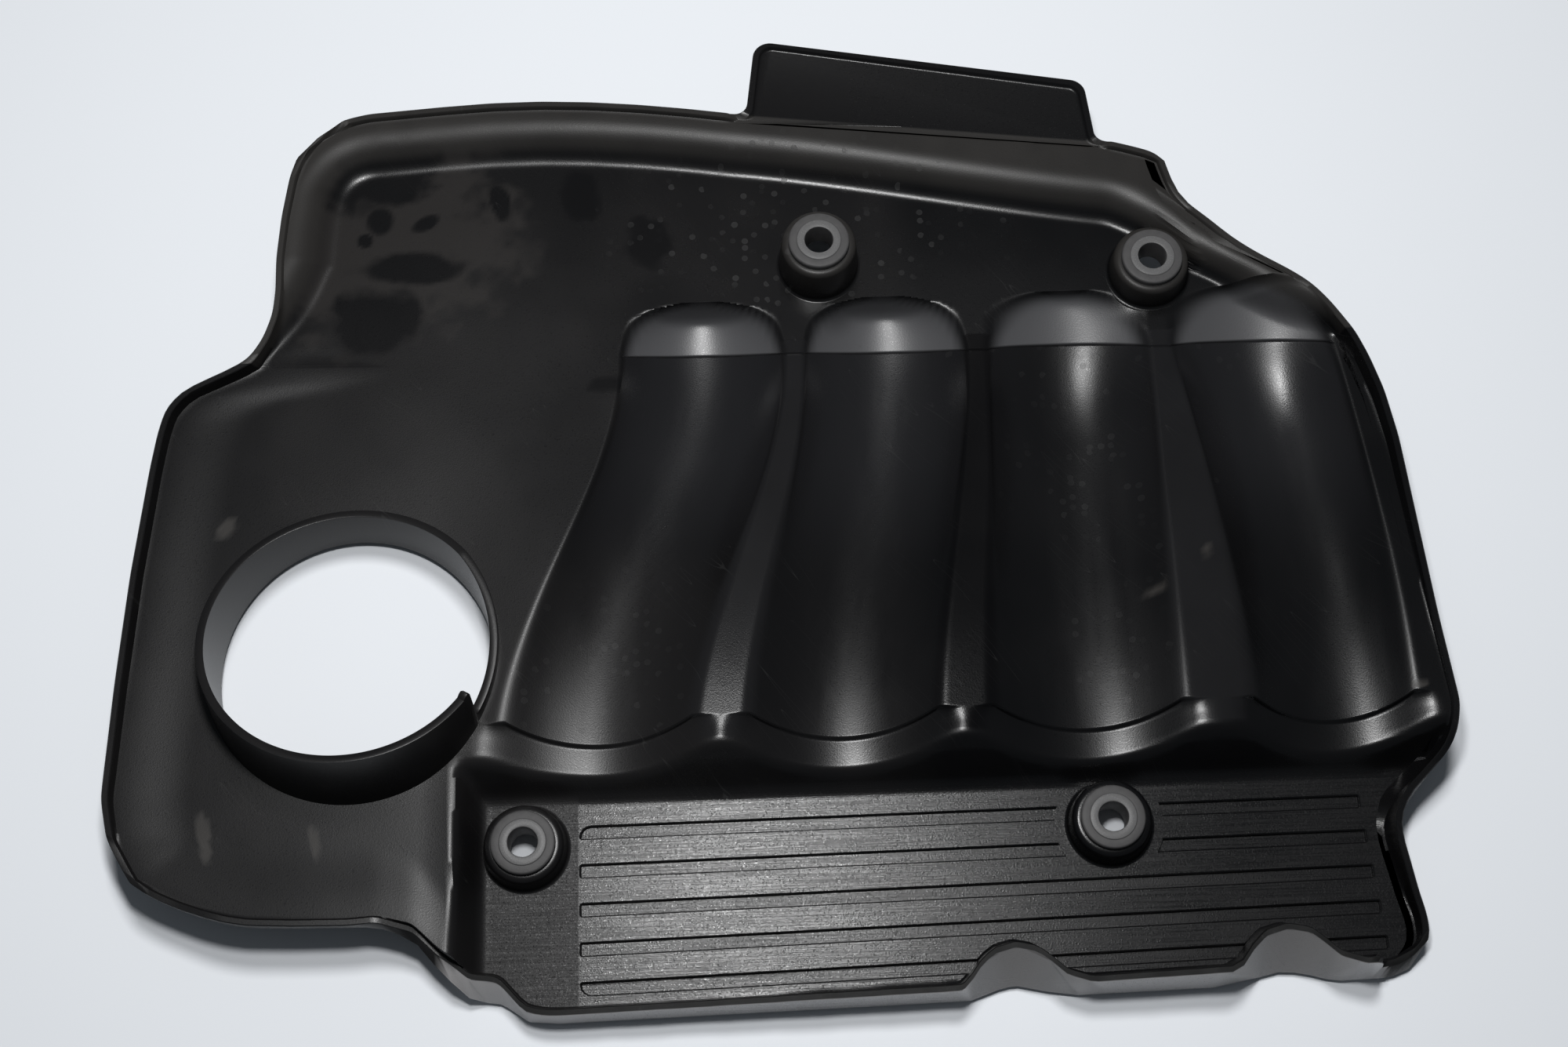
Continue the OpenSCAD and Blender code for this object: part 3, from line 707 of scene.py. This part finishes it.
def mottle(x, y, size, octaves=3):
    """Smooth random values between 0 and 1 over the part, in halving sizes."""
    hash_x, hash_y, hash_spread, fade = 127.1, 311.7, 43758.5453, 0.55
    total, weight = np.zeros_like(x), 0.0
    for k in range(octaves):
        u, v = x / size * 2 ** k + 17.3 * k, y / size * 2 ** k - 9.1 * k
        i, j = np.floor(u), np.floor(v)
        knots = [np.modf(np.abs(np.sin((i + a) * hash_x + (j + b) * hash_y + k) * hash_spread))[0]
                 for b in (0, 1) for a in (0, 1)]
        share_u, share_v = ease(u - i), ease(v - j)
        near, far = mix(knots[0], knots[1], share_u), mix(knots[2], knots[3], share_u)
        total += mix(near, far, share_v) * fade ** k
        weight += fade ** k
    return total / weight


haze = mottle(at_x, at_y, 70, 4)
cloud = mottle(at_x, at_y, 16)
torn = mottle(at_x, at_y, 9) - 0.5
run = mottle(at_x * 7, at_y, 40)


def smudge(x, y, half_w, half_d, turn, ragged):
    """1 inside an oval patch with ragged edges, 0 outside it."""
    u = (at_x - x) * math.cos(turn) + (at_y - y) * math.sin(turn)
    v = (at_y - y) * math.cos(turn) - (at_x - x) * math.sin(turn)
    return ease((1.1 - np.hypot(u / half_w, v / half_d) - torn * ragged) / 0.4)


# Smudges, as (x, y, half width, half depth, turn, raggedness)
dark_smudges = [
    (-155, 143, 24, 13, 0.3, 0.9), (-156, 125, 6, 7, 0, 0.3), (-162, 116, 3.5, 3.5, 0, 0.2),
    (-138, 123, 7, 3.5, 0.5, 0.3), (-143, 103, 23, 8, 0, 0.6), (-157, 81, 21, 16, 0.1, 0.8),
    (-65, 49, 8, 4, 0, 0.6), (-108, 132, 4, 9, 0.3, 0.9), (-75, 134, 9, 12, 0.2, 0.7),
    (-48, 112, 9, 14, 0, 0.8)]
pale_scuffs = [
    (-214, -127, 2.2, 9, 0.18, 0.9), (-174, -129, 1.8, 7, 0.2, 0.9), (-212, -5.5, 4, 3, 0.6, 0.9),
    (145, -42, 6, 1.6, 0.3, 1.2), (163, -28, 1.6, 4, 0.3, 1.2), (238.5, -85, 3.5, 1.6, 0, 0.5)]
dark = np.maximum.reduce([smudge(*row) for row in dark_smudges])
pale = np.maximum.reduce([smudge(*row) for row in pale_scuffs])
bloom = smudge(-158, 118, 60, 50, 0, 0.8) * (1 - dark)
wet = np.maximum(smudge(15, 118, 75, 38, 0, 0.7), 0.4 * runner * ease((haze - 0.5) / 0.15))
film = ease((haze - 0.25) / 0.5) * (1 - 0.85 * dark)
dusty_left = left * mix(0.4, 1.0, ease((haze - 0.2) / 0.5)) * (1 - 0.6 * dark)
off_third = np.clip(np.abs(at_x - 115) / 60, 0, 1)
outer_web = web * ease(np.abs(at_x - 75) / 40 - 0.4)

# The colours that lie over the black, in the order in which they are laid on
black = (0.0028, 0.0028, 0.0032)
coats = [(film, (0.0058, 0.0056, 0.0060)), (dusty_left, (0.0098, 0.0092, 0.0094)),
         (bloom * 0.85, (0.0225, 0.0205, 0.0195)),
         # Painted sheen: the lighter coat on the rear of the runners, away from the third, stands in for the
         # lamp's glare fading towards their mouths
         (runner * ease((at_y + 40) / 70) * off_third * 0.8, (0.0145, 0.0145, 0.016)),
         # Painted highlight: the pale grey on the domes stands in for the lamp's broad sheen on them
         # Painted reflection: the light brown-grey on the raised rear flange and its slope stands in for the
         # dim room mirrored in that band
         (dome, (0.082, 0.082, 0.086)), (flange * mix(0.6, 1.0, cloud), (0.026, 0.0242, 0.0225)),
         (outer_web * mix(0.6, 1.0, cloud), (0.0135, 0.0135, 0.0145)),
         (pale * mix(0.3, 0.8, cloud), (0.05, 0.046, 0.042)),
         # Painted reflection of the pale table on the outer face of the front wall
         (front_wall_reflection * mix(0.85, 1.0, cloud), (0.42, 0.41, 0.41)), (crown, (0.004, 0.004, 0.004))]
paint = np.tile(black, (len(at_x), 1))
for share, coat in coats:
    paint = paint + (np.array(coat) - paint) * np.asarray(share, float)[:, None]
dull = 0.26 + 0.05 * film + 0.08 * corner + runner * (0.14 * run - 0.06) + 0.09 * dome + 0.15 * flange
dull = dull - 0.05 * web - 0.05 * dark + 0.15 * pale + 0.35 * crown
surface_values = {"dull": dull, "shine": 0.5 - 0.3 * web + 0.35 * dome, "panel": panel, "wet": wet,
                  "scuffed": 0.5 * ease((mottle(at_x + 900, at_y, 30) - 0.52) / 0.1)}
for name, value in surface_values.items():
    layer = cover.data.attributes.new(name, "FLOAT", "POINT")
    layer.data.foreach_set("value", np.asarray(value, np.float32))
layer = cover.data.color_attributes.new("paint", "FLOAT_COLOR", "POINT")
layer.data.foreach_set("color", np.column_stack([paint, np.ones(len(paint))]).astype(np.float32).ravel())


# Helpers of the materials: group starts a node group, and each of the others adds one node to a tree
# and gives the output asked for.
def node(tree, kind, inputs, out=0, **settings):
    made = tree.nodes.new("ShaderNode" + kind)
    for name, value in settings.items():
        setattr(made, name, value)
    for key, value in inputs.items():
        if isinstance(value, bpy.types.NodeSocket):
            tree.links.new(value, made.inputs[key])
        else:
            made.inputs[key].default_value = value
    return made.outputs[out]


def calc(tree, operation, a, b=0.0, c=0.0):
    return node(tree, "Math", {0: a, 1: b, 2: c}, operation=operation)


def plus(tree, base, value, by):
    """The base with a multiple of the value added."""
    return calc(tree, "MULTIPLY_ADD", value, by, base)


def remap(tree, value, low, high, to_low=0.0, to_high=1.0):
    return node(tree, "MapRange", {"Value": value, "From Min": low, "From Max": high, "To Min": to_low,
                                   "To Max": to_high}, "Result", interpolation_type="SMOOTHSTEP")


def noise(tree, vector, scale, detail=2.0, rough=0.5, dimensions="3D"):
    return node(tree, "TexNoise", {"Vector": vector, "Scale": scale, "Detail": detail, "Roughness": rough},
                "Fac", noise_dimensions=dimensions)


def stretch(tree, vector, by):
    return node(tree, "VectorMath", {0: vector, 1: by}, operation="MULTIPLY")


def tint(tree, share, low, high):
    return node(tree, "Mix", {0: share, 6: low, 7: high}, 2, data_type="RGBA")


def group(name, inputs, outputs):
    """An empty node group with its input and output nodes."""
    tree = bpy.data.node_groups.new(name, "ShaderNodeTree")
    for socket, kind in inputs.items():
        tree.interface.new_socket(socket, in_out="INPUT", socket_type="NodeSocket" + kind)
    for socket in outputs:
        tree.interface.new_socket(socket, in_out="OUTPUT", socket_type="NodeSocketFloat")
    return tree, tree.nodes.new("NodeGroupInput").outputs, tree.nodes.new("NodeGroupOutput").inputs


def use(tree, group_tree, inputs, out=0):
    made = tree.nodes.new("ShaderNodeGroup")
    made.node_tree = group_tree
    for key, value in inputs.items():
        if isinstance(value, bpy.types.NodeSocket):
            tree.links.new(value, made.inputs[key])
        else:
            made.inputs[key].default_value = value
    return made.outputs[out]


# Moulded grain: the fine tooth of the tool's spark-eroded face, in millimetres, with bright flakes in it.
grain, grain_in, grain_out = group("moulded_grain", {"Place": "Vector", "Coarseness": "Float"},
                                   ["Height", "Flake"])
per_grain = calc(grain, "DIVIDE", 1.0, grain_in["Coarseness"])
finer = node(grain, "VectorMath", {0: grain_in["Place"], "Scale": per_grain}, operation="SCALE")
grain.links.new(noise(grain, finer, 1.0, 2.0, 0.62), grain_out["Height"])
grain.links.new(remap(grain, noise(grain, finer, 1.3, 1.0, 0.5), 0.6, 0.74), grain_out["Flake"])

# Water spots: dried rings of uneven size, some of them faint.
spots, spots_in, spots_out = group("water_spots", {"Place": "Vector", "Size": "Float"}, ["Ring"])
cells = spots.nodes.new("ShaderNodeTexVoronoi")
cells.voronoi_dimensions = "2D"
spots.links.new(spots_in["Place"], cells.inputs["Vector"])
spots.links.new(calc(spots, "DIVIDE", 1.0, spots_in["Size"]), cells.inputs["Scale"])
size_share = node(spots, "SeparateColor", {0: cells.outputs["Color"]})
ring_at = calc(spots, "MULTIPLY_ADD", size_share, 0.18, 0.1)
from_ring = calc(spots, "SUBTRACT", cells.outputs["Distance"], ring_at)
ring_line = remap(spots, calc(spots, "ABSOLUTE", from_ring), 0.05, 0.0)
disc = calc(spots, "MULTIPLY", remap(spots, from_ring, 0.03, -0.03), 0.55)
drop = calc(spots, "MAXIMUM", disc, ring_line)
spots.links.new(calc(spots, "MULTIPLY", drop, remap(spots, size_share, 0.66, 1.0)), spots_out["Ring"])

# Scratches: long, thin, slightly bent marks that run one way.
scratches, scratch_in, scratch_out = group("scratches", {"Place": "Vector", "Turn": "Float"}, ["Line"])
laid = node(scratches, "VectorRotate", {"Vector": scratch_in["Place"], "Angle": scratch_in["Turn"]},
            rotation_type="Z_AXIS")
wander = noise(scratches, stretch(scratches, laid, (0.012, 0.22, 0.1)), 1.0, 0.0, 0.5, "2D")
off_line = calc(scratches, "ABSOLUTE", calc(scratches, "SUBTRACT", wander, 0.5))
scratches.links.new(remap(scratches, off_line, 0.006, 0.0), scratch_out["Line"])


def in_millimetres(tree):
    """Where a point lies on its object."""
    in_metres = node(tree, "TexCoord", {}, "Object")
    return node(tree, "VectorMath", {0: in_metres, "Scale": 1 / MM}, operation="SCALE")


# The nylon itself: satin black with a moulded grain, and brushed along the grooves on the panel.
nylon = bpy.data.materials.new("moulded_nylon")
nylon.use_nodes = True
tree = nylon.node_tree
nylon_shader = tree.nodes["Principled BSDF"]
place = in_millimetres(tree)
value = {name: node(tree, "Attribute", {}, "Fac", attribute_name=name) for name in surface_values}
paint = node(tree, "Attribute", {}, "Color", attribute_name="paint")
grain_size = 0.55
grain_height = use(tree, grain, {"Place": place, "Coarseness": grain_size}, "Height")
ring = calc(tree, "MULTIPLY", use(tree, spots, {"Place": place, "Size": 4.2}), value["wet"])
line = calc(tree, "MULTIPLY", use(tree, scratches, {"Place": place, "Turn": 0.9}), value["scuffed"])
marks = calc(tree, "MULTIPLY", calc(tree, "MAXIMUM", ring, line), 0.5)
colour = tint(tree, marks, paint, (0.05, 0.05, 0.05, 1))

brushed = noise(tree, stretch(tree, place, (0.025, 1.7, 1.0)), 1.0, 1.0, 0.7, "2D")
flake = remap(tree, grain_height, 0.58, 0.7)
pit = remap(tree, grain_height, 0.42, 0.34)
matt_left = remap(tree, node(tree, "SeparateXYZ", {0: place}, "X"), -77.6, -78.4)
on_brush = calc(tree, "MULTIPLY_ADD", brushed, 0.2, -0.09)
rough = plus(tree, value["dull"], value["panel"], on_brush)
rough = plus(tree, rough, ring, 0.18)
rough = plus(tree, rough, flake, -0.08)
rough = plus(tree, rough, calc(tree, "MULTIPLY", pit, value["panel"]), 0.22)
rough = plus(tree, rough, calc(tree, "MULTIPLY", value["panel"], matt_left), 0.16)

tooth = calc(tree, "MULTIPLY", grain_height, calc(tree, "MULTIPLY_ADD", value["panel"], 1.1, 0.9))
brush_marks = calc(tree, "MULTIPLY", brushed, calc(tree, "MULTIPLY", value["panel"], 0.9))
height = calc(tree, "ADD", tooth, brush_marks)
normal = node(tree, "Bump", {"Strength": 0.5, "Distance": 0.00007, "Height": height}, "Normal")

# The flakes of glass fibre that glint on the panel, where its grain stands high
by_grain = node(tree, "VectorMath", {0: place, "Scale": 1 / grain_size}, operation="SCALE")
glint = remap(tree, noise(tree, by_grain, 1.0, 2.0, 0.62), 0.58, 0.7)
shine = plus(tree, value["shine"], calc(tree, "MULTIPLY", value["panel"], glint), 0.35)
sockets = {"Base Color": colour, "Roughness": rough, "Specular IOR Level": shine, "Normal": normal}
for name, socket in sockets.items():
    tree.links.new(socket, nylon_shader.inputs[name])
cover.data.materials.clear()
cover.data.materials.append(nylon)


# The grommets: four soft bushes of dark grey rubber, pressed into the webs of the bosses.
# A worn inner ring stands round the bore, and a smooth flange covers the top of the boss.
bore_r, grommet_r, grommet_len, ring_r, fit_gap = 5.5, 12.0, 12.0, 8.6, 0.2
rubber = bpy.data.materials.new("grommet_rubber")
rubber.use_nodes = True
tree = rubber.node_tree
rubber_shader = tree.nodes["Principled BSDF"]
place = in_millimetres(tree)
radius = node(tree, "VectorMath", {0: stretch(tree, place, (1.0, 1.0, 0.0))}, "Value", operation="LENGTH")
inside_ring = remap(tree, radius, ring_r + 0.2, ring_r - 0.2)
annulus = calc(tree, "MULTIPLY", inside_ring, remap(tree, radius, bore_r, bore_r + 0.5))
speck = use(tree, grain, {"Place": place, "Coarseness": 0.45}, "Flake")
bare = calc(tree, "MULTIPLY", annulus, remap(tree, speck, 0.0, 1.0, 0.35, 1.0))
rubbed = noise(tree, node(tree, "CombineXYZ", {0: calc(tree, "MULTIPLY", radius, 2.2)}), 1.0, 3.0)
chalked = noise(tree, place, 0.25, 4.0, 0.6)
colour = tint(tree, chalked, (0.05, 0.049, 0.05, 1), (0.085, 0.083, 0.083, 1))
colour = tint(tree, bare, colour, (0.22, 0.22, 0.22, 1))
rough = calc(tree, "MULTIPLY_ADD", annulus, -0.12, 0.55)
skin = use(tree, grain, {"Place": place, "Coarseness": 0.5}, "Height")
height = calc(tree, "ADD", calc(tree, "MULTIPLY", rubbed, annulus), skin)
normal = node(tree, "Bump", {"Strength": 0.5, "Distance": 0.0001, "Height": height}, "Normal")
for name, socket in {"Base Color": colour, "Roughness": rough, "Normal": normal}.items():
    tree.links.new(socket, rubber_shader.inputs[name])
neck_r = web_hole_r - fit_gap
grommet_profile = [(bore_r, -grommet_len), (recess_r - 1.4, -grommet_len), (recess_r - 0.4, -grommet_len + 1),
                   (recess_r - 0.4, -flange_t - web_t - fit_gap), (neck_r, -flange_t - web_t - fit_gap),
                   (neck_r, -flange_t), (grommet_r - 0.3, -flange_t), (grommet_r, -flange_t + 0.3)]
grommet_profile += arc(grommet_r - 1.0, -1.3, 1.0, 0, 75)
grommet_profile += [(ring_r + 0.9, -0.28), (ring_r + 0.3, -0.3), (ring_r + 0.1, -0.12), (ring_r - 0.15, 0.0),
                    (bore_r + 0.7, 0.0), (bore_r + 0.2, -0.15), (bore_r, -0.6)]
for name, (x, y, z) in zip(boss_names, bosses):
    grommet = turned("bush_" + name, grommet_profile)
    grommet.location = (x * MM, y * MM, z * MM)
    grommet.data.shade_smooth()
    grommet.data.set_sharp_from_angle(angle=math.radians(40))
    grommet.data.materials.append(rubber)
    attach(grommet, "root")
    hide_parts("grommet_" + name)


# The table: a plain pale board under the part, painted matt.
# It is only there to hold the shadow, and no piece of the cover is fixed to it.
# Sizes and places are in metres from here on.
table_half = 2.0
table_mesh = bpy.data.meshes.new("table")
table_corners = [(-table_half, -table_half, 0), (table_half, -table_half, 0), (table_half, table_half, 0),
                 (-table_half, table_half, 0)]
table_mesh.from_pydata(table_corners, [], [(0, 1, 2, 3)])
table = bpy.data.objects.new("table", table_mesh)
bpy.context.scene.collection.objects.link(table)
table_paint = bpy.data.materials.new("table_paint")
table_paint.use_nodes = True
table_shader = table_paint.node_tree.nodes["Principled BSDF"]
table_shader.inputs["Base Color"].default_value = (0.88, 0.91, 0.95, 1)
table_shader.inputs["Roughness"].default_value = 0.6
table_mesh.materials.append(table_paint)


# The light: a compact lamp overhead for the gloss, a soft one behind for the shadows, and a dim room.
# Each lamp is a disc that faces down, turned about X by so many degrees.
def lamp(name, at, size, power, turn=0.0):
    data = bpy.data.lights.new(name, "AREA")
    data.shape = "DISK"
    data.size = size
    data.energy = power
    obj = bpy.data.objects.new(name, data)
    bpy.context.scene.collection.objects.link(obj)
    obj.location = at
    obj.rotation_euler = (math.radians(turn), 0, 0)
    return obj


lamp("overhead", at=(-0.03, 0.02, 0.80), size=0.12, power=2.8)
behind = lamp("behind", at=(0.02, 1.0, 2.1), size=0.5, power=28.0, turn=-25.0)
behind.visible_glossy = False
world = bpy.data.worlds.new("room")
bpy.context.scene.world = world
world.use_nodes = True
room = world.node_tree.nodes["Background"]
room.inputs["Color"].default_value = (0.5, 0.55, 0.6, 1)
room.inputs["Strength"].default_value = 0.12


# The camera: above the front edge, looking down and to the rear.
camera_data = bpy.data.cameras.new("camera")
camera_data.sensor_fit = "HORIZONTAL"
camera_data.sensor_width = 36.0
camera_data.lens = 52.2
camera = bpy.data.objects.new("camera", camera_data)
camera.location = (-0.0078, -0.3183, 0.8409)
camera.rotation_euler = (math.radians(20.5), 0, math.radians(-2.0))
bpy.context.scene.collection.objects.link(camera)
bpy.context.scene.camera = camera
bpy.context.scene.view_settings.view_transform = "Standard"
